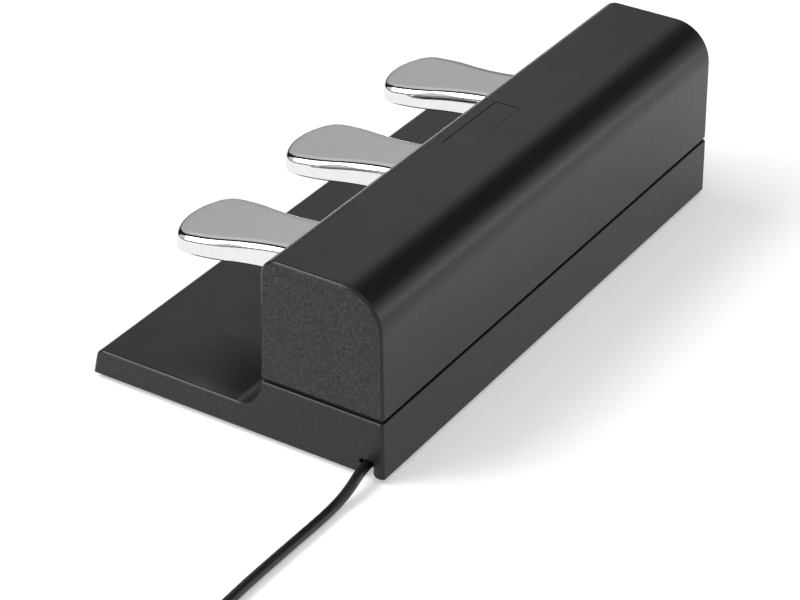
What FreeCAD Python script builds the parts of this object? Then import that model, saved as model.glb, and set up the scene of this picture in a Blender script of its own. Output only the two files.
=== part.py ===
import FreeCAD, Part
import math
import os
import re
import Sketcher

# Three-pedal floor unit of a digital piano.
# Millimetres. +X runs along the housing to the end where the lead leaves, -Y points at the
# player, +Z is up. The origin is on the floor, under the middle of the unit.

SIZES = {
    # the closed case
    "unit_length": 300.0,
    "unit_depth": 154.0,
    "unit_height": 91.3,
    "housing_depth": 63.0,
    "plate_height": 14.7,
    "joint_height": 30.4,
    "case_lift": 2.0,
    "shell_wall": 2.5,
    "cover_step": 0.5,
    "rear_draft": 1.5,
    "front_draft": 1.1,
    "toe_slope": 12.0,
    "toe_radius": 4.5,
    "sweep_radius": 13.5,
    "brow_radius": 8.5,
    "shoulder_radius": 19.5,
    "edge_radius": 0.9,
    "corner_radius": 1.3,
    "groove_height": 1.3,
    "groove_depth": 1.2,
    "lip_height": 3.0,
    "lip_clearance": 0.1,
    # inlaid plate in the housing's top
    "inlay_length": 49.0,
    "inlay_width": 12.9,
    "inlay_setback": 18.7,
    "inlay_thickness": 0.8,
    "inlay_sink": 0.2,
    "inlay_clearance": 0.35,
    "inlay_corner": 1.5,
    # steel bottom plate, feet and case screws
    "deck_thickness": 1.6,
    "deck_clearance": 0.4,
    "deck_corner": 3.0,
    "feet_thickness": 2.6,
    "feet_radius": 8.0,
    "feet_inset": 16.0,
    "feet_round": 0.8,
    "post_radius": 4.0,
    "post_inset": 14.0,
    "post_front": 10.0,
    "post_rear": 37.0,
    "boss_radius": 3.5,
    "boss_inset": 42.0,
    "boss_front": 14.0,
    "boss_row": 62.0,
    "tapping_radius": 1.5,
    "tapping_head": 2.9,
    "tapping_head_height": 1.5,
    "socket_share": 0.6,
    "post_screw_length": 18.0,
    "boss_screw_length": 7.5,
    # chromed pedal levers
    "pedal_inset": 63.8,
    "pedal_reach": 82.4,
    "pedal_half_width": 21.6,
    "pedal_tip_length": 14.7,
    "neck_half_width": 15.7,
    "tip_arc": 30.6,
    "corner_arc": 10.5,
    "flank_arc": 77.8,
    "waist_arc": 106.0,
    "pedal_rise": 6.75,
    "pedal_sag": 6.7,
    "pedal_pitch": 7.2,
    "belly_pitch": 3.5,
    "pedal_round": 3.0,
    "bevel_width": 5.2,
    "bevel_drop": 0.3,
    "belly_round": 1.0,
    "pedal_travel": 6.0,
    "neck_depth": 4.0,
    "slot_clearance": 1.5,
    "slot_corner": 2.5,
    "arm_width": 20.0,
    "arm_thickness": 12.0,
    # pivots
    "pivot_drop": 31.3,
    "pivot_setback": 15.5,
    "pivot_boss_radius": 8.0,
    "shaft_radius": 3.0,
    "shaft_clearance": 0.05,
    "bush_wall": 1.5,
    "bush_length": 8.0,
    "flange_radius": 7.0,
    "flange_thickness": 0.9,
    "run_clearance": 0.3,
    "clip_radius": 5.5,
    "clip_thickness": 0.8,
    "shaft_end": 1.5,
    # folded brackets
    "bracket_sheet": 2.0,
    "bracket_setback": 7.0,
    "ear_margin": 9.0,
    "ear_corner": 6.0,
    "window_front": 14.0,
    "window_length": 22.0,
    "window_low": 12.0,
    "window_height": 30.0,
    "window_corner": 5.0,
    "tab_width": 9.0,
    "bracket_bolt_radius": 2.0,
    "bracket_bolt_head": 3.5,
    "bracket_bolt_head_height": 1.6,
    "bracket_bolt_front": 14.0,
    "bracket_bolt_length": 7.8,
    "nut_half_width": 3.5,
    "nut_height": 3.2,
    # stops
    "stop_setback": 8.0,
    "stop_width": 12.0,
    "bar_thickness": 2.0,
    "bar_corner": 2.0,
    "bar_screw_radius": 1.5,
    "bar_screw_head": 2.8,
    "bar_screw_head_height": 1.6,
    "bar_screw_length": 5.0,
    "felt_thickness": 3.0,
    "felt_length": 9.0,
    "felt_half_width": 8.0,
    "felt_margin": 0.5,
    # return springs
    "spring_radius": 6.6,
    "spring_wire": 2.0,
    "spring_turns": 9,
    "spring_end_gap": 0.5,
    "seat_radius": 8.5,
    "seat_thickness": 1.5,
    "peg_radius": 4.0,
    "peg_height": 3.5,
    # position sensing
    "sensor_length": 6.0,
    "sensor_half_width": 6.0,
    "sensor_height": 5.5,
    "sensor_slot": 3.0,
    "sensor_root": 1.2,
    "flag_thickness": 1.0,
    "flag_length": 11.0,
    "flag_height": 7.0,
    "flag_foot": 8.0,
    "flag_screw_radius": 1.0,
    "flag_screw_head": 1.9,
    "flag_screw_head_height": 1.2,
    "flag_screw_length": 5.0,
    "board_overhang": 13.8,
    "board_depth": 30.0,
    "board_thickness": 1.6,
    "board_corner": 2.0,
    "board_post_radius": 3.0,
    "board_post_height": 4.0,
    "header_length": 10.0,
    "header_width": 8.0,
    "header_height": 5.5,
    "header_inset": 4.0,
    "header_row": 21.0,
    "header_wall": 1.0,
    "lead_plug_grip": 6.0,
    # lead
    "cord_diameter": 4.6,
    "cord_setback": 8.7,
    "notch_half_width": 3.6,
    "notch_top": 9.5,
    "notch_corner": 1.5,
    "notch_mouth": 2.0,
    "clamp_gap": 10.0,
    "clamp_width": 8.0,
    "clamp_wall": 1.5,
    "clamp_foot": 9.0,
    "clamp_foot_height": 2.2,
    "sheath_gap": 25.8,
    "wire_radius": 0.4,
    "wire_pitch": 1.0,
    "wire_spread": 1.4,
    # the lead's spare length, wound and tied
    "coil_reach": 168.0,
    "coil_drift": 2.15,
    "coil_inner": 19.95,
    "coil_gap": 0.45,
    "tie_width": 8.0,
    "tie_thickness": 0.8,
    "tie_clearance": 0.8,
    "tie_lift": 0.2,
    "tail_reach": 34.4,
    "tail_run": 38.05,
    # plug on the lead's far end
    "grip_radius": 7.5,
    "grip_length": 22.0,
    "relief_radius": 3.4,
    "relief_length": 12.0,
    "relief_ribs": 4,
    "grip_ribs": 5,
    "rib_depth": 0.6,
    "plug_shell_radius": 6.65,
    "plug_shell_wall": 0.5,
    "plug_shell_length": 9.5,
    "insulator_length": 3.0,
    "pin_radius": 0.7,
    "pin_length": 6.0,
    "pin_circle": 3.3,
}

# lengths that follow from the sizes
DERIVED = {
    "half_length": "unit_length / 2",
    "front_edge": "-unit_depth / 2",
    "rear_edge": "unit_depth / 2",
    "housing_front": "unit_depth / 2 - housing_depth",
    "base_top": "joint_height - groove_height / 2",
    "cover_bottom": "joint_height + groove_height / 2",
    "lip_top": "cover_bottom + lip_height",
    "sweep": "min(sweep_radius; base_top - plate_height - edge_radius - 0.5)",
    "cavity_half_length": "half_length - cover_step - shell_wall",
    "lip_half_length": "half_length - cover_step - groove_depth",
    "lip_front": "housing_front + groove_depth",
    "lip_rear": "rear_edge - (base_top - case_lift) * tan(rear_draft) - groove_depth",
    "deck_top": "feet_thickness + deck_thickness",
    "deck_half_length": "cavity_half_length - deck_clearance",
    "deck_front": "front_edge + shell_wall + deck_clearance + (deck_top - case_lift) * tan(toe_slope)",
    "deck_rear": "rear_edge - shell_wall - deck_clearance - (deck_top - case_lift) * tan(rear_draft)",
    "inlay_y": "housing_front + inlay_setback",
    "post_x": "half_length - post_inset",
    "post_front_y": "housing_front + post_front",
    "post_rear_y": "rear_edge - post_rear",
    "boss_x": "half_length - boss_inset",
    "boss_front_y": "front_edge + boss_front",
    "boss_row_y": "front_edge + boss_row",
    "pedal_spacing": "half_length - pedal_inset",
    "pivot_y": "rear_edge - pivot_setback",
    "pivot_height": "unit_height - pivot_drop",
    "pedal_top": "pivot_height + pedal_rise",
    "pedal_bottom": "pivot_height - pedal_sag",
    "tip_y": "housing_front - pedal_reach",
    "wide_y": "tip_y + pedal_tip_length",
    "neck_back": "housing_front + neck_depth",
    "arm_top": "pivot_height + arm_thickness / 2",
    "arm_bottom": "pivot_height - arm_thickness / 2",
    "tip_thickness": "pedal_top - pedal_bottom - pedal_reach * (tan(pedal_pitch) - tan(belly_pitch))",
    "bush_radius": "shaft_radius + shaft_clearance + bush_wall",
    "ear_inner": "arm_width / 2 + flange_thickness + run_clearance",
    "ear_outer": "ear_inner + bracket_sheet",
    "bracket_front": "housing_front + bracket_setback",
    "bracket_rear": "pivot_y + ear_margin",
    "bracket_floor": "deck_top + bracket_sheet",
    "bracket_bolt_y": "bracket_front + bracket_bolt_front / 2",
    "stop_front": "housing_front + stop_setback",
    "stop_middle": "stop_front + stop_width / 2",
    "bar_seat": "arm_top + run_clearance + felt_thickness",
    "bar_top": "bar_seat + bar_thickness",
    "bar_half_length": "pedal_spacing + ear_outer + tab_width",
    "tab_middle": "ear_outer + tab_width / 2",
    "low_stop": "pivot_height - (pivot_y - stop_front) * tan(pedal_travel)"
                " - arm_thickness / 2 / cos(pedal_travel) - run_clearance",
    "low_felt_seat": "low_stop - felt_thickness",
    "slot_top": "pedal_top + neck_depth * tan(pedal_pitch) + slot_clearance",
    "slot_bottom": "pivot_height - (pivot_y - housing_front) * sin(pedal_travel)"
                   " - (pivot_height - pedal_bottom) * cos(pedal_travel) - slot_clearance",
    "spring_y": "((bracket_bolt_y) + pivot_y) / 2",
    "spring_low": "bracket_floor + seat_thickness",
    "spring_high": "arm_bottom - seat_thickness - run_clearance",
    "sensor_y": "(stop_front + stop_width + pivot_y - pivot_boss_radius) / 2",
    "board_bottom": "bar_top + board_post_height",
    "board_top": "board_bottom + board_thickness",
    "board_front": "stop_front + 1",
    "board_half_length": "pedal_spacing + board_overhang",
    "header_end": "board_half_length - header_inset",
    "cord_radius": "cord_diameter / 2",
    "cord_y": "rear_edge - cord_setback",
    "cord_z": "deck_top + cord_radius",
    "sheath_end": "pedal_spacing + sheath_gap",
    "clamp_x": "sheath_end + clamp_gap",
    "clamp_screw_y": "cord_y - cord_radius - clamp_wall - clamp_foot / 2",
    "header_y": "board_front + header_row",
    "coil_pitch": "cord_diameter + coil_gap",
    "coil_outer": "coil_inner + 2 * coil_pitch",
    "coil_x": "half_length + coil_reach",
    "coil_y": "cord_y + coil_drift + coil_outer",
    "coil_low": "cord_radius + tie_thickness + tie_lift",
    "coil_high": "coil_low + 3 * coil_pitch",
    "plug_x": "coil_x + cord_diameter + tail_reach",
    "plug_y": "cord_y + coil_drift + tail_run",
    "grip_y": "plug_y + relief_length",
    "plug_face": "grip_y + grip_length",
}

SIDES = {"left": -1, "middle": 0, "right": 1}
COIL_TURNS = 8
PEDAL_ARCS = ("tip_arc", "corner_arc", "flank_arc", "waist_arc")
FLAG_SCREW = ("(flag_thickness / 2 + flag_foot) / 2", "sensor_y")

doc = FreeCAD.newDocument("pedal_unit")
sheet = doc.addObject("Spreadsheet::Sheet", "sizes")
for row, (name, size) in enumerate(SIZES.items(), start=1):
    sheet.set("A%d" % row, name)
    sheet.set("B%d" % row, str(size))
    sheet.setAlias("B%d" % row, name)
doc.recompute()

pieces = []


def formula(text):
    """The text as an expression: derived lengths opened up, sizes read from the sheet."""
    def open_word(match):
        word = match.group(0)
        if word in DERIVED:
            return "(" + formula(DERIVED[word]) + ")"
        return "sizes." + word if word in SIZES else word
    return re.sub("[A-Za-z_]+", open_word, text)


def value(text):
    """The formula's value now, as a number."""
    return float(sheet.evalExpression(formula(text)))


def bind(target, path, text):
    target.setExpression(path, formula(text))


def new_body(label):
    """An empty body for one piece, or for a group of like pieces."""
    body = doc.addObject("PartDesign::Body", label)
    body.Label = label
    pieces.append(body)
    return body


def origin_feature(body, role):
    return [f for f in body.Origin.OriginFeatures if f.Role == role][0]


def new_sketch(body, plane, offset="0"):
    """An empty sketch on one of the body's own planes, moved along the plane's normal."""
    sketch = body.newObject("Sketcher::SketchObject", body.Name + "_sketch")
    sketch.AttachmentSupport = [(origin_feature(body, plane), "")]
    sketch.MapMode = "FlatFace"
    bind(sketch, "AttachmentOffset.Base.z", offset)
    return sketch


def dimension(sketch, kind, *references, text):
    """A dimension that holds the formula."""
    index = sketch.addConstraint(Sketcher.Constraint(kind, *references, value(text)))
    bind(sketch, "Constraints[%d]" % index, text)


def pin_point(sketch, geometry, position, u, v):
    dimension(sketch, "DistanceX", -1, 1, geometry, position, text=u)
    dimension(sketch, "DistanceY", -1, 1, geometry, position, text=v)


def arc_between(centre, radius, start, end):
    """An anticlockwise arc round a centre, from one point to another."""
    circle = Part.Circle(centre, FreeCAD.Vector(0, 0, 1), radius)
    angles = [math.atan2(point.y - centre.y, point.x - centre.x) for point in (start, end)]
    return Part.ArcOfCircle(circle, angles[0], angles[0] + (angles[1] - angles[0]) % (2 * math.pi))


def add_outline(sketch, corners):
    """A closed outline through corners (u, v) or (u, v, radius), each given as formulas."""
    count = len(corners)
    points = [FreeCAD.Vector(value(c[0]), value(c[1]), 0) for c in corners]
    starts, ends, arcs = [], [], {}
    for i, corner in enumerate(corners):
        back = (points[i - 1] - points[i]).normalize()
        ahead = (points[(i + 1) % count] - points[i]).normalize()
        reach = 0.0
        if len(corner) == 3:
            half_angle = back.getAngle(ahead) / 2
            radius = value(corner[2])
            reach = radius / math.tan(half_angle)
            centre = points[i] + (back + ahead).normalize() * (radius / math.sin(half_angle))
            turns_left = back.cross(ahead).z < 0
            tangents = [points[i] + back * reach, points[i] + ahead * reach]
            arcs[i] = (arc_between(centre, radius, *sorted(tangents, key=lambda point: turns_left
                                                           != (point is tangents[0]))), turns_left)
        ends.append(points[i] + back * reach)
        starts.append(points[i] + ahead * reach)
    first = sketch.GeometryCount
    for i in range(count):
        sketch.addGeometry(Part.LineSegment(starts[i], ends[(i + 1) % count]))
    for i, corner in enumerate(corners):
        line_in, line_out = first + (i - 1) % count, first + i
        if i not in arcs:
            sketch.addConstraint(Sketcher.Constraint("Coincident", line_in, 2, line_out, 1))
            pin_point(sketch, line_out, 1, corner[0], corner[1])
            continue
        arc = sketch.addGeometry(arcs[i][0])
        begin, finish = (1, 2) if arcs[i][1] else (2, 1)
        sketch.addConstraint(Sketcher.Constraint("Tangent", line_in, 2, arc, begin))
        sketch.addConstraint(Sketcher.Constraint("Tangent", line_out, 1, arc, finish))
        dimension(sketch, "Radius", arc, text=corner[2])
        corner_point = sketch.addGeometry(Part.Point(points[i]), True)
        sketch.addConstraint(Sketcher.Constraint("PointOnObject", corner_point, 1, line_in))
        sketch.addConstraint(Sketcher.Constraint("PointOnObject", corner_point, 1, line_out))
        pin_point(sketch, corner_point, 1, corner[0], corner[1])


def add_rectangle(sketch, left, right, low, high, radius=None):
    tail = (radius,) if radius else ()
    add_outline(sketch, [(left, low) + tail, (right, low) + tail,
                         (right, high) + tail, (left, high) + tail])


def add_circle(sketch, u, v, radius):
    centre = FreeCAD.Vector(value(u), value(v), 0)
    circle = sketch.addGeometry(Part.Circle(centre, FreeCAD.Vector(0, 0, 1), value(radius)))
    pin_point(sketch, circle, 3, u, v)
    dimension(sketch, "Radius", circle, text=radius)


def pad(body, sketch, length, side="One side", backwards=False):
    feature = body.newObject("PartDesign::Pad", body.Name + "_pad")
    feature.Profile = sketch
    feature.SideType = side
    feature.Reversed = backwards
    bind(feature, "Length", length)
    doc.recompute()
    return feature


def pocket(body, sketch, length, side="One side", backwards=False):
    """A pocket that must take something away."""
    before = body.Shape.Volume
    feature = body.newObject("PartDesign::Pocket", body.Name + "_pocket")
    feature.Profile = sketch
    feature.SideType = side
    feature.Reversed = backwards
    bind(feature, "Length", length)
    doc.recompute()
    if body.Shape.Volume > before - 1e-3:
        raise RuntimeError("a pocket of %s cuts nothing" % body.Label)
    return feature


def round_edges(body, radius, wanted):
    """A fillet on each edge for which wanted(edge) holds."""
    base = body.Tip
    names = ["Edge%d" % i for i, edge in enumerate(base.Shape.Edges, start=1) if wanted(edge)]
    feature = body.newObject("PartDesign::Fillet", body.Name + "_fillet")
    feature.Base = (base, names)
    bind(feature, "Radius", radius)
    doc.recompute()
    return feature


def bevel_edges(body, inwards, down, wanted):
    """A shallow bevel beside each edge for which wanted(edge) holds."""
    base = body.Tip
    names = ["Edge%d" % i for i, edge in enumerate(base.Shape.Edges, start=1) if wanted(edge)]
    feature = body.newObject("PartDesign::Chamfer", body.Name + "_bevel")
    feature.Base = (base, names)
    feature.ChamferType = "Two distances"
    feature.FlipDirection = True
    bind(feature, "Size", inwards)
    bind(feature, "Size2", down)
    doc.recompute()
    return feature


def drill(body, height, places, radius, depth, upwards=False):
    """Round holes from a height, downwards unless told otherwise."""
    sketch = new_sketch(body, "XY_Plane", height)
    for x, y in places:
        add_circle(sketch, x, y, radius)
    pocket(body, sketch, depth, backwards=upwards)


def add_hexagon(sketch, x, y, half_width):
    add_outline(sketch, [("%s + %s / cos(30) * cos(%d)" % (x, half_width, 60 * k),
                          "%s + %s / cos(30) * sin(%d)" % (y, half_width, 60 * k))
                         for k in range(6)])


def pedal_x(side):
    return "%d * pedal_spacing" % side


def put_at_pedal(body, side):
    """Moves a piece made on the unit's middle to its own pedal."""
    bind(body, "Placement.Base.x", pedal_x(side))


def rear_y(z):
    """The case's rear face at a height."""
    return "rear_edge - ((%s) - case_lift) * tan(rear_draft)" % z


def front_y(z):
    """The cover's front face at a height."""
    return "housing_front + ((%s) - cover_bottom) * tan(front_draft)" % z


def on_end_face(edge, reach, low):
    """True for an edge round one of the two end faces, above a height."""
    box = edge.BoundBox
    return box.XLength < 0.01 and abs(box.Center.x) > value(reach) - 0.01 and box.ZMax > low + 0.01


def upright(edge):
    """True for an edge that runs mostly up and down."""
    box = edge.BoundBox
    return max(box.XLength, box.YLength) < 0.1 * box.ZLength


def make_base_case():
    """Lower shell: foot plate in front, swept up into the skirt that carries the cover."""
    body = new_body("base_case")
    sketch = new_sketch(body, "YZ_Plane")
    add_outline(sketch, [
        ("front_edge", "case_lift"),
        ("front_edge + (plate_height - case_lift) * tan(toe_slope)", "plate_height", "toe_radius"),
        ("housing_front", "plate_height", "sweep"),
        ("housing_front", "base_top"),
        (rear_y("base_top"), "base_top"),
        ("rear_edge", "case_lift"),
    ])
    pad(body, sketch, "unit_length", "Symmetric")
    top = value("base_top")
    low = value("case_lift")
    round_edges(body, "corner_radius", lambda edge: on_end_face(edge, "half_length", low)
                and upright(edge))
    round_edges(body, "edge_radius", lambda edge: on_end_face(edge, "half_length", low)
                or edge.BoundBox.ZMin > top - 0.01)
    lip = new_sketch(body, "XY_Plane", "base_top - 1")
    add_rectangle(lip, "-(lip_half_length)", "lip_half_length", "lip_front", "lip_rear")
    pad(body, lip, "lip_top - base_top + 1")
    cavity = new_sketch(body, "YZ_Plane")
    add_outline(cavity, [
        ("front_edge + shell_wall", "case_lift - 1"),
        ("front_edge + shell_wall + (plate_height - shell_wall - case_lift) * tan(toe_slope)",
         "plate_height - shell_wall"),
        ("housing_front + shell_wall", "plate_height - shell_wall", "sweep + shell_wall"),
        ("housing_front + shell_wall", "lip_top + 1"),
        ("(" + rear_y("lip_top") + ") - shell_wall", "lip_top + 1"),
        ("rear_edge - shell_wall", "case_lift - 1"),
    ])
    pocket(body, cavity, "2 * cavity_half_length", "Symmetric")
    bosses = new_sketch(body, "XY_Plane", "deck_top")
    for x, y in boss_places():
        add_circle(bosses, x, y, "boss_radius")
    pad(body, bosses, "plate_height - shell_wall / 2 - deck_top")
    drill(body, "deck_top", boss_places(), "tapping_radius",
          "boss_screw_length - deck_thickness + 0.5", upwards=True)
    notch = new_sketch(body, "YZ_Plane", "cavity_half_length - 1")
    add_outline(notch, [
        ("cord_y - notch_half_width", "case_lift - 1"),
        ("cord_y - notch_half_width", "notch_top", "notch_corner"),
        ("cord_y + notch_half_width", "notch_top", "notch_corner"),
        ("cord_y + notch_half_width", "case_lift - 1"),
    ])
    pocket(body, notch, "half_length - cavity_half_length + 2", backwards=True)
    side = value("notch_half_width")
    round_edges(body, "notch_mouth", lambda edge: edge.BoundBox.ZMax < low + 0.01
                and edge.BoundBox.XMin > value("cavity_half_length") - 0.01
                and abs(abs(edge.BoundBox.Center.y - value("cord_y")) - side) < 0.01)


def boss_places():
    """Where the short screws hold the bottom plate to the foot plate."""
    return [(sign + "boss_x" + share, y) for y in ("boss_front_y", "boss_row_y")
            for sign, share in (("-", ""), ("-", " / 3"), ("", " / 3"), ("", ""))]


def post_places():
    """Where the long screws hold the bottom plate and the base to the cover."""
    return [(sign + "post_x", y) for sign in ("-", "") for y in ("post_front_y", "post_rear_y")]


def make_top_cover():
    """Housing over the mechanism, with a slot for each pedal and a post at each corner."""
    body = new_body("top_cover")
    sketch = new_sketch(body, "YZ_Plane")
    add_outline(sketch, [
        ("housing_front", "cover_bottom"),
        (front_y("unit_height"), "unit_height", "brow_radius"),
        (rear_y("unit_height"), "unit_height", "shoulder_radius"),
        (rear_y("cover_bottom"), "cover_bottom"),
    ])
    pad(body, sketch, "unit_length - 2 * cover_step", "Symmetric")
    low = value("cover_bottom")
    round_edges(body, "corner_radius", lambda edge: on_end_face(edge, "half_length - cover_step", low)
                and upright(edge))
    round_edges(body, "edge_radius", lambda edge: edge.BoundBox.ZMax < low + 0.01
                or on_end_face(edge, "half_length - cover_step", low))
    cavity = new_sketch(body, "YZ_Plane")
    add_outline(cavity, [
        ("(" + front_y("cover_bottom - 1") + ") + shell_wall", "cover_bottom - 1"),
        ("(" + front_y("unit_height") + ") + shell_wall", "unit_height - shell_wall",
         "brow_radius - shell_wall"),
        ("(" + rear_y("unit_height") + ") - shell_wall", "unit_height - shell_wall",
         "shoulder_radius - shell_wall"),
        ("(" + rear_y("cover_bottom - 1") + ") - shell_wall", "cover_bottom - 1"),
    ])
    pocket(body, cavity, "2 * cavity_half_length", "Symmetric")
    rebate = new_sketch(body, "XY_Plane", "lip_top")
    add_rectangle(rebate, "-(lip_half_length + lip_clearance)", "lip_half_length + lip_clearance",
                  "lip_front - lip_clearance", "lip_rear + lip_clearance")
    pocket(body, rebate, "lip_height + 1")
    posts = new_sketch(body, "XY_Plane", "deck_top")
    for x, y in post_places():
        add_circle(posts, x, y, "post_radius")
    pad(body, posts, "unit_height - shell_wall / 2 - deck_top")
    drill(body, "deck_top", post_places(), "tapping_radius",
          "post_screw_length - deck_thickness + 1", upwards=True)
    slots = new_sketch(body, "XZ_Plane", "-(housing_front - 1)")
    for side in SIDES.values():
        add_rectangle(slots, pedal_x(side) + " - neck_half_width - slot_clearance",
                      pedal_x(side) + " + neck_half_width + slot_clearance",
                      "slot_bottom", "slot_top", "slot_corner")
    pocket(body, slots, "shell_wall + 4")
    recess = new_sketch(body, "XY_Plane", "unit_height")
    add_rectangle(recess, "-inlay_length / 2", "inlay_length / 2",
                  "inlay_y - inlay_width / 2", "inlay_y + inlay_width / 2", "inlay_corner")
    pocket(body, recess, "inlay_thickness + inlay_sink")


def make_inlay():
    """Bare plate in the recess of the housing's top."""
    body = new_body("name_plate")
    sketch = new_sketch(body, "XY_Plane", "unit_height - inlay_sink - inlay_thickness")
    add_rectangle(sketch, "-inlay_length / 2 + inlay_clearance",
                  "inlay_length / 2 - inlay_clearance",
                  "inlay_y - inlay_width / 2 + inlay_clearance",
                  "inlay_y + inlay_width / 2 - inlay_clearance",
                  "inlay_corner - inlay_clearance")
    pad(body, sketch, "inlay_thickness")


def bracket_bolt_places():
    return [(pedal_x(side), y) for side in SIDES.values() for y in ("bracket_bolt_y", "pivot_y")]


def bar_screw_places():
    return [("%s %s (tab_middle)" % (pedal_x(side), sign), "stop_middle")
            for side in SIDES.values() for sign in "-+"]


def board_post_places():
    return [(sign + "pedal_spacing" + share, "stop_middle")
            for sign, share in (("-", ""), ("-", " / 2"), ("", " / 2"), ("", ""))]


def make_bottom_plate():
    """Steel sheet that closes the base and carries the brackets."""
    body = new_body("bottom_plate")
    sketch = new_sketch(body, "XY_Plane", "feet_thickness")
    add_rectangle(sketch, "-(deck_half_length)", "deck_half_length", "deck_front", "deck_rear",
                  "deck_corner")
    pad(body, sketch, "deck_thickness")
    drill(body, "deck_top", boss_places() + post_places() + [("clamp_x", "clamp_screw_y")],
          "tapping_radius", "deck_thickness")
    drill(body, "deck_top", bracket_bolt_places(), "bracket_bolt_radius", "deck_thickness")


def make_feet():
    """Six round rubber feet under the bottom plate."""
    body = new_body("rubber_feet")
    sketch = new_sketch(body, "XY_Plane")
    for x in ("-(half_length - feet_inset)", "0", "half_length - feet_inset"):
        add_circle(sketch, x, "front_edge + feet_inset", "feet_radius")
    for x in ("-(half_length - feet_inset)", "half_length - feet_inset"):
        add_circle(sketch, x, "rear_edge - feet_inset", "feet_radius")
    add_circle(sketch, "0", "spring_y", "feet_radius")
    pad(body, sketch, "feet_thickness")
    round_edges(body, "feet_round", lambda edge: edge.BoundBox.ZMax < 0.01)


def make_screws(label, kind, places, seat, length, upwards=False):
    """Screws of one kind: heads on the seat, shanks down from it unless told otherwise."""
    body = new_body(label)
    heads = new_sketch(body, "XY_Plane", seat)
    shanks = new_sketch(body, "XY_Plane", seat)
    sockets = new_sketch(body, "XY_Plane", "%s %s %s_head_height" % (seat, "-" if upwards else "+", kind))
    for x, y in places:
        add_circle(heads, x, y, kind + "_head")
        add_circle(shanks, x, y, kind + "_radius")
        add_hexagon(sockets, x, y, "socket_share * %s_radius" % kind)
    pad(body, heads, kind + "_head_height", backwards=upwards)
    pad(body, shanks, length, backwards=not upwards)
    pocket(body, sockets, "socket_share * %s_head_height" % kind, backwards=upwards)
    return body


def make_bracket(name, side):
    """Folded steel bracket: floor, two ears, tabs for the stop bar and a lower stop."""
    body = new_body("bracket_" + name)
    ears = new_sketch(body, "YZ_Plane")
    add_outline(ears, [("bracket_front", "deck_top"), ("bracket_front", "bar_seat"),
                       ("bracket_rear", "bar_seat", "ear_corner"), ("bracket_rear", "deck_top")])
    pad(body, ears, "2 * (ear_outer)", "Symmetric")
    room = new_sketch(body, "YZ_Plane")
    add_rectangle(room, "bracket_front - 1", "bracket_rear + 1", "bracket_floor", "bar_seat + 1")
    pocket(body, room, "2 * (ear_inner)", "Symmetric")
    windows = new_sketch(body, "YZ_Plane")
    add_rectangle(windows, "bracket_front + window_front",
                  "bracket_front + window_front + window_length",
                  "bracket_floor + window_low", "bracket_floor + window_low + window_height",
                  "window_corner")
    pocket(body, windows, "2 * (ear_outer) + 2", "Symmetric")
    tabs = new_sketch(body, "XY_Plane", "bar_seat - bracket_sheet")
    for left, right in (("-(ear_outer + tab_width)", "-(ear_inner)"),
                        ("ear_inner", "ear_outer + tab_width")):
        add_rectangle(tabs, left, right, "stop_front", "stop_front + stop_width")
    pad(body, tabs, "bracket_sheet")
    bridge = new_sketch(body, "XY_Plane", "low_felt_seat - bracket_sheet")
    add_rectangle(bridge, "-(ear_inner + bracket_sheet / 2)", "ear_inner + bracket_sheet / 2",
                  "stop_front", "stop_front + felt_length + 2 * felt_margin")
    pad(body, bridge, "bracket_sheet")
    pivots = new_sketch(body, "YZ_Plane")
    add_circle(pivots, "pivot_y", "pivot_height", "shaft_radius")
    pocket(body, pivots, "2 * (ear_outer) + 2", "Symmetric")
    drill(body, "bracket_floor", [("0", "bracket_bolt_y"), ("0", "pivot_y")],
          "bracket_bolt_radius", "bracket_sheet")
    drill(body, "bar_seat", [("-(tab_middle)", "stop_middle"), ("tab_middle", "stop_middle")],
          "bar_screw_radius", "bracket_sheet")
    put_at_pedal(body, side)


def make_nuts():
    """Hexagon nuts on the brackets' floors."""
    body = new_body("bracket_nuts")
    sketch = new_sketch(body, "XY_Plane", "bracket_floor")
    for x, y in bracket_bolt_places():
        add_hexagon(sketch, x, y, "nut_half_width")
        add_circle(sketch, x, y, "bracket_bolt_radius")
    pad(body, sketch, "nut_height")


def make_shaft(name, side):
    body = new_body("shaft_" + name)
    sketch = new_sketch(body, "YZ_Plane")
    add_circle(sketch, "pivot_y", "pivot_height", "shaft_radius")
    pad(body, sketch, "2 * (ear_outer + clip_thickness + shaft_end)", "Symmetric")
    put_at_pedal(body, side)


def make_clips():
    """Retaining rings on both ends of each shaft."""
    body = new_body("shaft_clips")
    for side in SIDES.values():
        for sign in (-1, 1):
            sketch = new_sketch(body, "YZ_Plane", "%s + %d * (ear_outer)" % (pedal_x(side), sign))
            add_circle(sketch, "pivot_y", "pivot_height", "clip_radius")
            add_circle(sketch, "pivot_y", "pivot_height", "shaft_radius")
            pad(body, sketch, "clip_thickness", backwards=sign < 0)


def make_bushes(name, side):
    """Two flanged plastic bushes pressed into the lever's boss."""
    body = new_body("bushes_" + name)
    for sign in (-1, 1):
        for start, radius, length in (("arm_width / 2 - bush_length", "bush_radius", "bush_length"),
                                      ("arm_width / 2", "flange_radius", "flange_thickness")):
            sketch = new_sketch(body, "YZ_Plane", "%d * (%s)" % (sign, start))
            add_circle(sketch, "pivot_y", "pivot_height", radius)
            add_circle(sketch, "pivot_y", "pivot_height", "shaft_radius + shaft_clearance")
            pad(body, sketch, length, backwards=sign < 0)
    put_at_pedal(body, side)


def lever_height(level, pitch, y):
    """Height of the pedal's sloping top or underside at a distance along the unit's depth."""
    return "%s + ((%s) - housing_front) * tan(%s)" % (level, y, pitch)


def left_crossing(first, first_radius, second, second_radius):
    """Where two circles cross, on the left of the way from the first centre to the second."""
    across = second - first
    along = (first_radius ** 2 - second_radius ** 2 + across.Length ** 2) / (2 * across.Length)
    off = math.sqrt(first_radius ** 2 - along ** 2)
    across.normalize()
    return first + across * along + FreeCAD.Vector(-across.y, across.x, 0) * off


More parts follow.
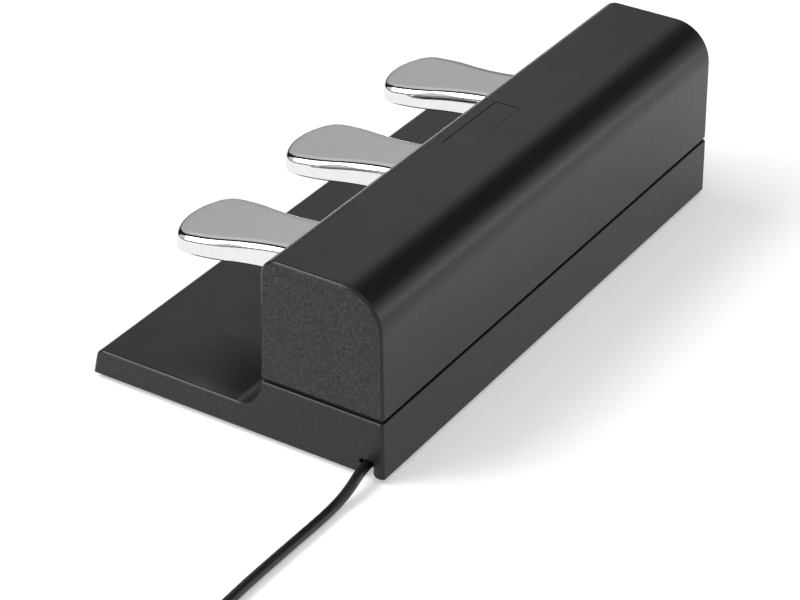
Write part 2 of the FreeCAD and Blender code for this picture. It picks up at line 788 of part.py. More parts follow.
def beyond(centre, towards, radius):
    """The point on a circle that faces another point."""
    return centre + (towards - centre).normalize() * radius


def add_half_pedal(sketch):
    """Half the pedal from above: blunt tip, rounded corner, full flank, drawn-in waist, neck."""
    tip, corner, flank, waist = [value(name) for name in PEDAL_ARCS]
    neck, back = value("neck_half_width"), value("neck_back")
    start = FreeCAD.Vector(0, value("tip_y"), 0)
    tip_centre = start + FreeCAD.Vector(0, tip, 0)
    flank_centre = FreeCAD.Vector(value("pedal_half_width") - flank, value("wide_y"), 0)
    corner_centre = left_crossing(tip_centre, tip - corner, flank_centre, flank - corner)
    rise = math.sqrt((flank + waist) ** 2 - (neck + waist - flank_centre.x) ** 2)
    waist_centre = FreeCAD.Vector(neck + waist, flank_centre.y + rise, 0)
    tip_end = beyond(tip_centre, corner_centre, tip)
    corner_end = beyond(flank_centre, corner_centre, flank)
    flank_end = beyond(flank_centre, waist_centre, flank)
    neck_start = FreeCAD.Vector(neck, waist_centre.y, 0)
    neck_end, middle_end = FreeCAD.Vector(neck, back, 0), FreeCAD.Vector(0, back, 0)
    sketch.addGeometry([arc_between(tip_centre, tip, start, tip_end),
                        arc_between(corner_centre, corner, tip_end, corner_end),
                        arc_between(flank_centre, flank, corner_end, flank_end),
                        arc_between(waist_centre, waist, neck_start, flank_end),
                        Part.LineSegment(neck_start, neck_end),
                        Part.LineSegment(neck_end, middle_end),
                        Part.LineSegment(middle_end, start)])
    for kind, *references in (("Tangent", 0, 2, 1, 1), ("Tangent", 1, 2, 2, 1),
                              ("Tangent", 2, 2, 3, 2), ("Tangent", 3, 1, 4, 1),
                              ("Coincident", 4, 2, 5, 1), ("Coincident", 5, 2, 6, 1),
                              ("Coincident", 6, 2, 0, 1), ("PointOnObject", 0, 3, -2),
                              ("Vertical", 4)):
        sketch.addConstraint(Sketcher.Constraint(kind, *references))
    for index, name in enumerate(PEDAL_ARCS):
        dimension(sketch, "Radius", index, text=name)
    pin_point(sketch, 2, 3, "pedal_half_width - flank_arc", "wide_y")
    pin_point(sketch, 0, 1, "0", "tip_y")
    pin_point(sketch, 4, 2, "neck_half_width", "neck_back")
    pin_point(sketch, 5, 2, "0", "neck_back")


def make_pedal(name, side):
    """Chromed casting: paddle and neck outside, square arm and pivot boss inside."""
    body = new_body("pedal_" + name)
    faces = (("pedal_top", "pedal_pitch", 30), ("pedal_bottom", "belly_pitch", -30))
    low = lever_height("pedal_bottom", "belly_pitch", "tip_y") + " - 2"
    high = lever_height("pedal_top", "pedal_pitch", "neck_back") + " + 2"
    half = new_sketch(body, "XY_Plane", low)
    add_half_pedal(half)
    blank = pad(body, half, "%s - (%s)" % (high, low))
    mirrored = body.newObject("PartDesign::Mirrored", body.Name + "_mirrored")
    mirrored.Originals = [blank]
    mirrored.MirrorPlane = (origin_feature(body, "YZ_Plane"), [""])
    body.Tip = mirrored
    doc.recompute()
    for level, pitch, away in faces:
        sketch = new_sketch(body, "YZ_Plane")
        front, rear = "tip_y - 2", "neck_back + 2"
        add_outline(sketch, [(front, lever_height(level, pitch, front)),
                             (rear, lever_height(level, pitch, rear)),
                             (rear, "%s + %d" % (level, away)),
                             (front, "%s + %d" % (level, away))])
        pocket(body, sketch, "2 * pedal_half_width + 2", "Symmetric")

    def along(level, pitch, lower=0):
        slope = value("tan(%s)" % pitch)
        origin = value(level) - value("housing_front") * slope - lower
        return lambda edge: edge.BoundBox.YLength > 0.01 and all(
            abs(vertex.Z - origin - vertex.Y * slope) < 0.02 for vertex in edge.Vertexes)

    bevel_edges(body, "bevel_width", "bevel_drop", along("pedal_top", "pedal_pitch"))
    round_edges(body, "min(pedal_round; (tip_thickness) * 0.4)",
                along("pedal_top", "pedal_pitch", value("bevel_drop")))
    round_edges(body, "belly_round", along("pedal_bottom", "belly_pitch"))
    arm = new_sketch(body, "YZ_Plane")
    add_rectangle(arm, "neck_back - neck_depth / 2", "pivot_y", "arm_bottom", "arm_top")
    pad(body, arm, "arm_width", "Symmetric")
    boss = new_sketch(body, "YZ_Plane")
    add_circle(boss, "pivot_y", "pivot_height", "pivot_boss_radius")
    pad(body, boss, "arm_width", "Symmetric")
    bore = new_sketch(body, "YZ_Plane")
    add_circle(bore, "pivot_y", "pivot_height", "bush_radius")
    pocket(body, bore, "arm_width + 2", "Symmetric")
    drill(body, "arm_top", [FLAG_SCREW], "flag_screw_radius", "flag_screw_length")
    put_at_pedal(body, side)


def make_stop_bar():
    """Bar over the three levers, which their upper felts hang from."""
    body = new_body("stop_bar")
    sketch = new_sketch(body, "XY_Plane", "bar_seat")
    add_rectangle(sketch, "-(bar_half_length)", "bar_half_length", "stop_front",
                  "stop_front + stop_width", "bar_corner")
    pad(body, sketch, "bar_thickness")
    drill(body, "bar_top", bar_screw_places() + board_post_places(), "bar_screw_radius",
          "bar_thickness")


def make_felts(label, seat):
    """A felt stop for each lever."""
    body = new_body(label)
    sketch = new_sketch(body, "XY_Plane", seat)
    for side in SIDES.values():
        add_rectangle(sketch, pedal_x(side) + " - felt_half_width",
                      pedal_x(side) + " + felt_half_width",
                      "stop_front + felt_margin", "stop_front + felt_margin + felt_length")
    pad(body, sketch, "felt_thickness")


def add_spring_cups(body, places, seat, down):
    """Discs on a seat, each with a peg that goes inside the spring."""
    discs = new_sketch(body, "XY_Plane", seat)
    pegs = new_sketch(body, "XY_Plane", "%s %s seat_thickness" % (seat, "-" if down else "+"))
    for x in places:
        add_circle(discs, x, "spring_y", "seat_radius")
        add_circle(pegs, x, "spring_y", "peg_radius")
    pad(body, discs, "seat_thickness", backwards=down)
    pad(body, pegs, "peg_height", backwards=down)


def make_flag(name, side):
    """Shutter on the lever's arm that rides in the slotted sensor."""
    body = new_body("flag_" + name)
    sketch = new_sketch(body, "XZ_Plane", "-(sensor_y)")
    add_outline(sketch, [("-flag_thickness / 2", "arm_top"),
                         ("flag_foot", "arm_top"),
                         ("flag_foot", "arm_top + flag_thickness"),
                         ("flag_thickness / 2", "arm_top + flag_thickness"),
                         ("flag_thickness / 2", "arm_top + flag_height"),
                         ("-flag_thickness / 2", "arm_top + flag_height")])
    pad(body, sketch, "flag_length", "Symmetric")
    drill(body, "arm_top + flag_thickness", [FLAG_SCREW], "flag_screw_radius", "flag_thickness")
    put_at_pedal(body, side)


def make_sensors():
    """Slotted light barriers under the board, one over each lever."""
    body = new_body("photo_sensors")
    sketch = new_sketch(body, "XZ_Plane", "-(sensor_y)")
    low, root = "board_bottom - sensor_height", "board_bottom - sensor_root"
    for side in SIDES.values():
        add_outline(sketch, [("%s %s" % (pedal_x(side), across), z) for across, z in (
            ("- sensor_half_width", "board_bottom"), ("- sensor_half_width", low),
            ("- sensor_slot / 2", low), ("- sensor_slot / 2", root),
            ("+ sensor_slot / 2", root), ("+ sensor_slot / 2", low),
            ("+ sensor_half_width", low), ("+ sensor_half_width", "board_bottom"))])
    pad(body, sketch, "sensor_length", "Symmetric")


def make_board():
    body = new_body("sensor_board")
    sketch = new_sketch(body, "XY_Plane", "board_bottom")
    add_rectangle(sketch, "-board_half_length", "board_half_length", "board_front",
                  "board_front + board_depth", "board_corner")
    pad(body, sketch, "board_thickness")
    drill(body, "board_top", board_post_places(), "bar_screw_radius", "board_thickness")


def make_board_posts():
    """Spacers between the stop bar and the board."""
    body = new_body("board_posts")
    sketch = new_sketch(body, "XY_Plane", "bar_top")
    for x, y in board_post_places():
        add_circle(sketch, x, y, "board_post_radius")
        add_circle(sketch, x, y, "bar_screw_radius")
    pad(body, sketch, "board_post_height")


def header_mouth(sketch):
    """The opening that the lead's small plug fits."""
    add_rectangle(sketch, "header_y - header_width / 2 + header_wall",
                  "header_y + header_width / 2 - header_wall",
                  "board_top + header_wall", "board_top + header_height - header_wall")


def make_connector():
    """Header on the board."""
    body = new_body("board_connector")
    block = new_sketch(body, "XY_Plane", "board_top")
    add_rectangle(block, "header_end - header_length", "header_end",
                  "header_y - header_width / 2", "header_y + header_width / 2")
    pad(body, block, "header_height")
    mouth = new_sketch(body, "YZ_Plane", "header_end")
    header_mouth(mouth)
    pocket(body, mouth, "header_length - header_wall")


def make_lead_plug():
    """The lead's small plug in the header."""
    body = new_body("lead_plug")
    sketch = new_sketch(body, "YZ_Plane", "header_end + lead_plug_grip")
    header_mouth(sketch)
    pad(body, sketch, "header_length - header_wall + lead_plug_grip", backwards=True)


def make_clamp():
    """Saddle that holds the lead down on the bottom plate."""
    body = new_body("cord_clamp")
    near = "cord_y + cord_radius + clamp_wall"
    far = "cord_y - cord_radius - clamp_wall"
    top = "cord_z + cord_radius + clamp_wall"
    foot = "deck_top + clamp_foot_height"
    sketch = new_sketch(body, "YZ_Plane", "clamp_x")
    add_outline(sketch, [(near, "deck_top"), (near, top, "clamp_wall"), (far, top, "clamp_wall"),
                         (far, foot), (far + " - clamp_foot", foot),
                         (far + " - clamp_foot", "deck_top")])
    pad(body, sketch, "clamp_width", "Symmetric")
    bore = new_sketch(body, "YZ_Plane", "clamp_x")
    add_circle(bore, "cord_y", "cord_z", "cord_radius")
    pocket(body, bore, "clamp_width + 2", "Symmetric")
    throat = new_sketch(body, "YZ_Plane", "clamp_x")
    add_rectangle(throat, "cord_y - cord_radius", "cord_y + cord_radius", "deck_top - 1", "cord_z")
    pocket(body, throat, "clamp_width + 2", "Symmetric")
    drill(body, foot, [("clamp_x", "clamp_screw_y")], "tapping_radius", "clamp_foot_height")


def make_inner_cord():
    """The sheathed lead from the case's end to just past its clamp."""
    body = new_body("cord_inner")
    sketch = new_sketch(body, "YZ_Plane", "sheath_end")
    add_circle(sketch, "cord_y", "cord_z", "cord_radius")
    pad(body, sketch, "half_length - sheath_end")


def add_shape(label, shape):
    """A piece that is swept along a line."""
    feature = doc.addObject("Part::Feature", label)
    feature.Label = label
    feature.Shape = shape
    pieces.append(feature)


def sweep_tube(label, edges, radius):
    """A round tube along edges that follow each other."""
    wire = Part.Wire(edges)
    start, first = edges[0].valueAt(edges[0].FirstParameter), edges[0]
    ring = Part.Circle(start, first.tangentAt(first.FirstParameter), radius).toShape()
    shape = wire.makePipeShell([Part.Wire([ring])], True, False)
    share = shape.Volume / (math.pi * radius ** 2 * wire.Length)
    print("%s: %.1f mm long, volume over section times length %.4f" % (label, wire.Length, share))
    return shape


def route_tube(label, points, radius):
    """A tube on straight runs joined by arcs, each arc as large as its two runs allow."""
    points = [FreeCAD.Vector(*point) for point in points]
    edges, radii, here = [], [], points[0]
    for before, corner, after in zip(points, points[1:], points[2:]):
        back, ahead = before - corner, after - corner
        reach = 0.45 * min(back.Length, ahead.Length)
        half_turn = (math.pi - back.getAngle(ahead)) / 2
        bend = reach / math.tan(half_turn)
        back.normalize()
        ahead.normalize()
        enter, leave = corner + back * reach, corner + ahead * reach
        middle = corner + (back + ahead).normalize() * (bend / math.cos(half_turn) - bend)
        edges.append(Part.LineSegment(here, enter).toShape())
        edges.append(Part.Arc(enter, middle, leave).toShape())
        radii.append(bend)
        here = leave
    edges.append(Part.LineSegment(here, points[-1]).toShape())
    print("%s: arc radii %s" % (label, ", ".join("%.1f" % bend for bend in radii)))
    return sweep_tube(label, edges, radius)


def arc_middle(start, tangent, end):
    """The middle of the arc that leaves a point along a tangent and reaches another point."""
    chord = end - start
    half_angle = tangent.getAngle(chord) / 2
    way = FreeCAD.Vector(tangent).normalize() + FreeCAD.Vector(chord).normalize()
    return start + way.normalize() * (chord.Length / (2 * math.cos(half_angle)))


def biarc(start, leaving, end, arriving):
    """Two arcs that join two points and keep the direction at both."""
    chord, both = end - start, leaving + arriving
    across = chord.dot(both)
    square = 2 * (1 - leaving.dot(arriving))
    reach = (math.sqrt(across ** 2 + square * chord.dot(chord)) - across) / square
    joint = (start + end + (leaving - arriving) * reach) * 0.5
    return [Part.Arc(start, arc_middle(start, leaving, joint), joint).toShape(),
            Part.Arc(joint, arc_middle(end, arriving * -1, joint), end).toShape()]


def wound_tube(label, position, turns, radius):
    """A tube wound along a line given by its position after so many turns."""
    steps = 48
    line = [position(k / steps) for k in range(steps * turns + 1)]
    least = min(here.distanceToPoint(there)
                for k, here in enumerate(line) for there in line[k + steps // 2:])
    print("%s: least gap to itself %.2f mm" % (label, least - 2 * radius))
    points = [position(k / 4) for k in range(4 * turns + 1)]
    ways = [(position(k / 4 + 0.01) - position(k / 4 - 0.01)).normalize()
            for k in range(4 * turns + 1)]
    for way in (ways[0], ways[-1]):
        way.z = 0
        way.normalize()
    lead_in, lead_out = points[0] - ways[0] * 2 * radius, points[-1] + ways[-1] * 2 * radius
    edges = [Part.LineSegment(lead_in, points[0]).toShape()]
    for start, leaving, end, arriving in zip(points, ways, points[1:], ways[1:]):
        edges.extend(biarc(start, leaving, end, arriving))
    edges.append(Part.LineSegment(points[-1], lead_out).toShape())
    return sweep_tube(label, edges, radius)


def make_spring(name, side):
    """Compression spring with a close turn at each end."""
    radius, wire, turns = value("spring_radius"), value("spring_wire"), int(value("spring_turns"))
    x, y = side * value("pedal_spacing"), value("spring_y")
    low, high = value("spring_low") + wire / 2, value("spring_high") - wire / 2
    close = wire + value("spring_end_gap")
    open_pitch = (high - low - 2 * close) / (turns - 2)

    def position(turn):
        opened = min(max(turn - 1, 0), turns - 2)
        angle = 2 * math.pi * turn
        return FreeCAD.Vector(x + radius * math.cos(angle), y + radius * math.sin(angle),
                              low + close * (turn - opened) + open_pitch * opened)
    label = "spring_" + name
    add_shape(label, wound_tube(label, position, turns, wire / 2))


def make_lead_wires():
    """Four wires from the lead's end to the small plug."""
    start_x, start_y, start_z = value("sheath_end"), value("cord_y"), value("cord_z")
    end_x, end_y = value("header_end + lead_plug_grip"), value("header_y")
    end_z = value("board_top + header_height / 2")
    wires = []
    for lane in (-1.5, -0.5, 0.5, 1.5):
        near, far = lane * value("wire_pitch"), lane * value("wire_spread")
        wires.append(route_tube("lead wire", [
            (start_x, start_y + near, start_z),
            (start_x - 6.5, start_y + near, start_z),
            (start_x - 7.0, start_y - 2.3 + far, 0.3 * end_z),
            (start_x - 5.0, (start_y + end_y) / 2 + 3.8 + far, 0.7 * end_z),
            (start_x - 1.5, end_y + 6.0 + far, end_z - 7.5),
            (end_x + 7.5, end_y + far, end_z),
            (end_x, end_y + far, end_z),
        ], value("wire_radius")))
    add_shape("lead_wires", Part.Compound(wires))


def make_cord():
    """The lead on the floor, from the case's end to the coil."""
    x, y, leaving = value("half_length"), value("cord_y"), value("cord_z")
    lying, coil_z = value("cord_radius"), value("coil_low")
    coil_x = value("coil_x - cord_diameter")
    coil_y = value("cord_y + coil_drift")
    add_shape("cord", route_tube("cord", [
        (x, y, leaving),
        (x + 5, y + 0.35, lying + 0.97 * (leaving - lying)),
        (x + 10, y + 1.05, lying + 0.81 * (leaving - lying)),
        (x + 15, y + 1.6, lying + 0.57 * (leaving - lying)),
        (x + 20, y + 1.75, lying + 0.30 * (leaving - lying)),
        (x + 26, y + 1.65, lying + 0.07 * (leaving - lying)),
        (x + 33, y + 1.7, lying),
        (x + 40, y + 1.65, lying),
        (x + 61, y + 1.15, lying),
        (x + 75, y + 0.85, lying),
        (x + 93, y + 0.7, lying),
        (x + 116, y + 1.3, lying),
        (coil_x - 23, coil_y, coil_z),
        (coil_x, coil_y, coil_z),
    ], value("cord_radius")))


def make_coil():
    """Spare lead in four layers that spiral in and out again, two turns to a layer."""
    outer, pitch = value("coil_outer"), value("coil_pitch")
    middle = FreeCAD.Vector(value("coil_x"), value("coil_y"), value("coil_low"))

    def position(turn):
        inwards = 2 - abs(turn % 4 - 2)
        climbed = sum(min(max(2 * (turn - 2 * layer) + 0.5, 0), 1) for layer in (1, 2, 3))
        angle = 2 * math.pi * turn - math.pi / 2
        radius = outer - pitch * inwards
        return middle + FreeCAD.Vector(radius * math.cos(angle), radius * math.sin(angle),
                                       pitch * climbed)
    add_shape("cord_coil", wound_tube("cord_coil", position, COIL_TURNS, value("cord_radius")))


def make_tail():
    """The lead from the coil down to its plug."""
    x, y = value("coil_x + cord_diameter"), value("cord_y + coil_drift")
    high, low = value("coil_high"), value("grip_radius")
    add_shape("cord_tail", route_tube("cord_tail", [
        (x, y, high),
        (x + 11.4, y, high),
        (x + 23.9, y + 5.05, low + 0.73 * (high - low)),
        (x + 31.9, y + 15.05, low + 0.365 * (high - low)),
        (value("plug_x"), value("plug_y") - 11, low),
        (value("plug_x"), value("plug_y"), low),
    ], value("cord_radius")))


def make_tie():
    """Flat strap round the coil's far side."""
    body = new_body("cord_tie")
    near = "coil_y + coil_inner + coil_pitch / 2 - cord_radius - tie_clearance"
    far = "coil_y + coil_outer - coil_pitch / 2 + cord_radius + tie_clearance"
    top = "coil_high + cord_radius + tie_lift"
    sketch = new_sketch(body, "YZ_Plane", "coil_x")
    add_rectangle(sketch, near + " - tie_thickness", far + " + tie_thickness", "0",
                  top + " + tie_thickness")
    add_rectangle(sketch, near, far, "tie_thickness", top)
    pad(body, sketch, "tie_width", "Symmetric")


def add_round(body, start, radius, length, inner=None):
    """A round stretch of the plug along +Y, solid or hollow."""
    sketch = new_sketch(body, "XZ_Plane", "-(%s)" % start)
    add_circle(sketch, "plug_x", "grip_radius", radius)
    if inner:
        add_circle(sketch, "plug_x", "grip_radius", inner)
    pad(body, sketch, length, backwards=True)


def make_plug():
    """Round plug: ribbed grip with its strain relief, metal shell, insulator and pins."""
    grip = new_body("plug_grip")
    for start, whole, radius, ribs in (("plug_y", "relief_length", "relief_radius", "relief_ribs"),
                                       ("grip_y", "grip_length", "grip_radius", "grip_ribs")):
        add_round(grip, start, radius + " - rib_depth", whole)
        step = "%s / (2 * %s)" % (whole, ribs)
        for rib in range(int(value(ribs))):
            add_round(grip, "%s + %d * %s" % (start, 2 * rib, step), radius, step)
    shell = new_body("plug_shell")
    add_round(shell, "plug_face", "plug_shell_radius", "plug_shell_length",
              "plug_shell_radius - plug_shell_wall")
    insulator = new_body("plug_insulator")
    add_round(insulator, "plug_face", "plug_shell_radius - plug_shell_wall", "insulator_length")
    pins = new_body("plug_pins")
    sketch = new_sketch(pins, "XZ_Plane", "-(plug_face + insulator_length)")
    for angle in (0, 45, 90, 135, 180):
        add_circle(sketch, "plug_x + pin_circle * cos(%d)" % angle,
                   "grip_radius + pin_circle * sin(%d)" % angle, "pin_radius")
    pad(pins, sketch, "pin_length", backwards=True)


make_base_case()
make_top_cover()
make_inlay()
make_bottom_plate()
make_feet()
make_screws("bottom_screws", "tapping", boss_places(), "feet_thickness", "boss_screw_length",
            upwards=True)
make_screws("cover_screws", "tapping", post_places(), "feet_thickness", "post_screw_length",
            upwards=True)
make_screws("bracket_screws", "bracket_bolt", bracket_bolt_places(), "feet_thickness",
            "bracket_bolt_length", upwards=True)
make_nuts()
for name, side in SIDES.items():
    make_bracket(name, side)
    make_shaft(name, side)
    make_bushes(name, side)
    make_pedal(name, side)
    cap = new_body("spring_cap_" + name)
    add_spring_cups(cap, ["0"], "arm_bottom", down=True)
    put_at_pedal(cap, side)
    make_spring(name, side)
    make_flag(name, side)
    put_at_pedal(make_screws("flag_screw_" + name, "flag_screw", [FLAG_SCREW],
                             "arm_top + flag_thickness", "flag_screw_length"), side)
make_clips()
add_spring_cups(new_body("spring_seats"), [pedal_x(side) for side in SIDES.values()],
                "bracket_floor", down=False)
make_stop_bar()
make_screws("stop_bar_screws", "bar_screw", bar_screw_places(), "bar_top", "bar_screw_length")
make_felts("upper_felts", "bar_seat - felt_thickness")
make_felts("lower_felts", "low_felt_seat")
make_board_posts()
make_board()
make_screws("board_screws", "bar_screw", board_post_places(), "board_top",
            "board_thickness + board_post_height + bar_thickness")
make_sensors()
make_connector()
make_lead_plug()
make_lead_wires()
make_inner_cord()
make_clamp()
make_screws("clamp_screw", "tapping", [("clamp_x", "clamp_screw_y")],
            "deck_top + clamp_foot_height", "clamp_foot_height + deck_thickness")
make_cord()
make_coil()
make_tail()
make_tie()
make_plug()
doc.recompute()

for item in doc.Objects:
    if "Invalid" in item.State or "Error" in item.State:
        raise RuntimeError("%s did not build: %s" % (item.Name, item.State))
for piece in pieces:
    if piece.Shape.isNull() or not piece.Shape.isValid():
        raise RuntimeError("%s has no valid shape" % piece.Label)
os.makedirs("parts", exist_ok=True)
for piece in pieces:
    piece.Shape.exportStep("parts/%s.step" % piece.Label)
    print("%s: %d solids, %.1f cm3" % (piece.Label, len(piece.Shape.Solids), piece.Shape.Volume / 1000))
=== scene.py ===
"""Looks of the piano pedal unit: camera, studio, materials and the free cord around the CAD frame."""
import math

import bpy
from mathutils import Matrix, Vector


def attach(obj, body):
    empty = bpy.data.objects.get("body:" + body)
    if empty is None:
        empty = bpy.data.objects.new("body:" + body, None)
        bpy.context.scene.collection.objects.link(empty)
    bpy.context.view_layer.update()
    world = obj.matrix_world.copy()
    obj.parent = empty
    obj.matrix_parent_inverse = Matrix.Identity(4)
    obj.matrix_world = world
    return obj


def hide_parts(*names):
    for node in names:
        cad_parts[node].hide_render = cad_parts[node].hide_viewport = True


# Camera of the photograph: its sensor in millimetres, its place and clipping in metres
IMAGE_WIDTH = 800
SENSOR_WIDTH = 36.0
CAMERA_PLACE = (0.8964, 0.5477, 0.6392)
CAMERA_YAW = math.radians(211.85)
CAMERA_PITCH = math.radians(31.82)
CAMERA_ROLL = math.radians(0.66)
CAMERA_FOCAL_PIXELS = 2582.0
CAMERA_NEAR = 0.01
CAMERA_FAR = 50.0

# Free cord: the points of its start and its tail, with the coil between them
CORD_DIAMETER = 0.0046
CORD_EXIT = (0.150, 0.0683, 0.0065)
CORD_START = (
    CORD_EXIT, (0.155, 0.06865, 0.00637), (0.160, 0.06935, 0.0057),
    (0.165, 0.0699, 0.00469), (0.170, 0.07005, 0.00356), (0.176, 0.06995, 0.00259),
    (0.183, 0.0700, 0.0023), (0.190, 0.06995, 0.0023), (0.211, 0.06945, 0.0023),
    (0.225, 0.06915, 0.0023), (0.243, 0.0690, 0.0023), (0.266, 0.0696, 0.0023),
    (0.2904, 0.07045, 0.0033), (0.3134, 0.07045, 0.0033),
)
CORD_TAIL = (
    (0.3226, 0.07045, 0.01845), (0.334, 0.07045, 0.01845), (0.3465, 0.0755, 0.01549),
    (0.3545, 0.0855, 0.0115), (0.357, 0.0975, 0.0075), (0.357, 0.1085, 0.0075),
)
CORD_BEVEL_RESOLUTION = 5
CORD_POINT_STEPS = 4
CORD_NURBS_ORDER = 3

# Coil of the cord: layers wound inwards and outwards by turns, with a short climb where two layers meet
COIL_CENTRE = (0.318, 0.1005)
COIL_RADIUS = 0.03005
COIL_PITCH = 0.00505
COIL_BASE = 0.0033
COIL_START_ANGLE = -math.pi / 2.0
COIL_LAYERS = 4
COIL_LAYER_TURNS = 2
COIL_CLIMB_TURNS = 0.5
COIL_TURN_STEPS = 24

# Studio floor, just under the feet, with some light of its own for the camera, mirrors and glass
FLOOR_HALF_SIZE = 8.0
FLOOR_HEIGHT = -0.0004
FLOOR_SHADE = 0.76
FLOOR_LIFT = 0.27

# Studio lamps: one over the player's side and a long low one behind
LAMPS = {
    "soft_box_above": dict(
        place=(1.25, -1.30, 1.75), target=(0.0, 0.0, 0.03), size=(0.6, 0.6), power=9.0),
    "soft_box_behind": dict(
        place=(-1.55, 1.48, 0.22), target=(0.0, 0.0, 0.05), size=(0.8, 0.35), power=1.1),
}

# Studio room: each band is on a direction's share to the right (X), to the rear (Y) or upwards (Z)
WALL_EDGE_RIGHT = (-0.61, -0.57)
WALL_DIM_RIGHT = (-0.84, -0.79)
WALL_DIM_SHADE = 0.15
WALL_BRIGHT_REAR = (0.2, 0.6)
WALL_BRIGHT_GAIN = 1.7
WALL_SLANT = 0.35
WALL_LIFT = 0.1
WALL_SHADES = (
    (0.0, 0.10), (0.11, 0.48), (0.24, 0.53), (0.34, 0.72), (0.45, 1.0),
    (0.57, 1.1), (0.66, 0.8), (0.72, 0.06), (0.80, 0.02), (1.0, 0.02),
)
CEILING_SHADES = ((0.0, 0.20), (0.12, 0.30), (0.30, 0.8), (1.0, 0.8))
CEILING_WHITE_REAR = (-0.1, 0.3)
STRIP_START_REAR = (-0.76, -0.68)
STRIP_END_REAR = (-0.40, -0.32)
STRIP_FOOT_UP = (0.22, 0.34)
STRIP_SHADE = 5.5
CORNER_RIGHT = (-0.08, -0.02)
CORNER_REAR = (-0.35, -0.15)
CORNER_SHADE = 0.02

# Shared by the finishes: the band of a noise's usual values, and how gloss goes with colour
NOISE_BAND = (0.3, 0.7)
GLOSS_FINENESS = 2.3
LEAST_ROUGHNESS = 0.03

# Moulded plastic
PLASTIC_BLACK = (0.0043, 0.0043, 0.0044, 1.0)
PLASTIC_SPECULAR = 0.31
PLASTIC_SMOOTHER = 0.015
PLASTIC_ROUGHER = 0.02
END_WALL_BAND = (0.93, 0.98)
SKIN_HEIGHT = 0.000005
SPARK_HEIGHT = 0.00016
# Painted glints: lighter specks on the end walls' spark texture, which also make those walls lighter
# than the rest
PAINTED_GLINT_BAND = (0.46, 0.66)
PAINTED_GLINT_GAIN = 11.0
DUST_BAND = (0.42, 0.78)
DUST_SHARE = 0.15
DUST_GAIN = 1.35

# Chrome: the draft is what the normal gains upwards on the casting's upright sides
CASTING_DRAFT = 0.185
UPRIGHT_BAND = (0.0, 0.35)
WAVE_HEIGHT = 0.000003
HAIR_HEIGHT = 0.0000005
HAIR_STRETCH = (9.0, 0.35, 9.0)
HAIR_GLOSS_BAND = (0.55, 0.8)
HAIR_ROUGHNESS = (0.0, 0.03)
PRINT_BAND = (0.4, 0.75)
PRINT_GLOSS_BAND = (0.45, 0.8)
PRINT_ROUGHNESS = (0.03, 0.08)
CHROME_CLEAN = (0.70, 0.705, 0.70, 1.0)
CHROME_TOUCHED = (0.67, 0.675, 0.67, 1.0)

# Circuit board
MASK_GREEN = (0.012, 0.085, 0.035, 1.0)
TRACE_GREEN = (0.03, 0.16, 0.06, 1.0)
TRACE_SCALE = 260.0
TRACE_WANDER = 0.6
TRACE_BAND = (0.55, 0.65)
TRACE_HEIGHT = 0.00003
WEAVE_STRETCH = (1.0, 1.0, 3.0)
WEAVE_ROUGHNESS = (0.28, 0.4)
WEAVE_HEIGHT = 0.00001


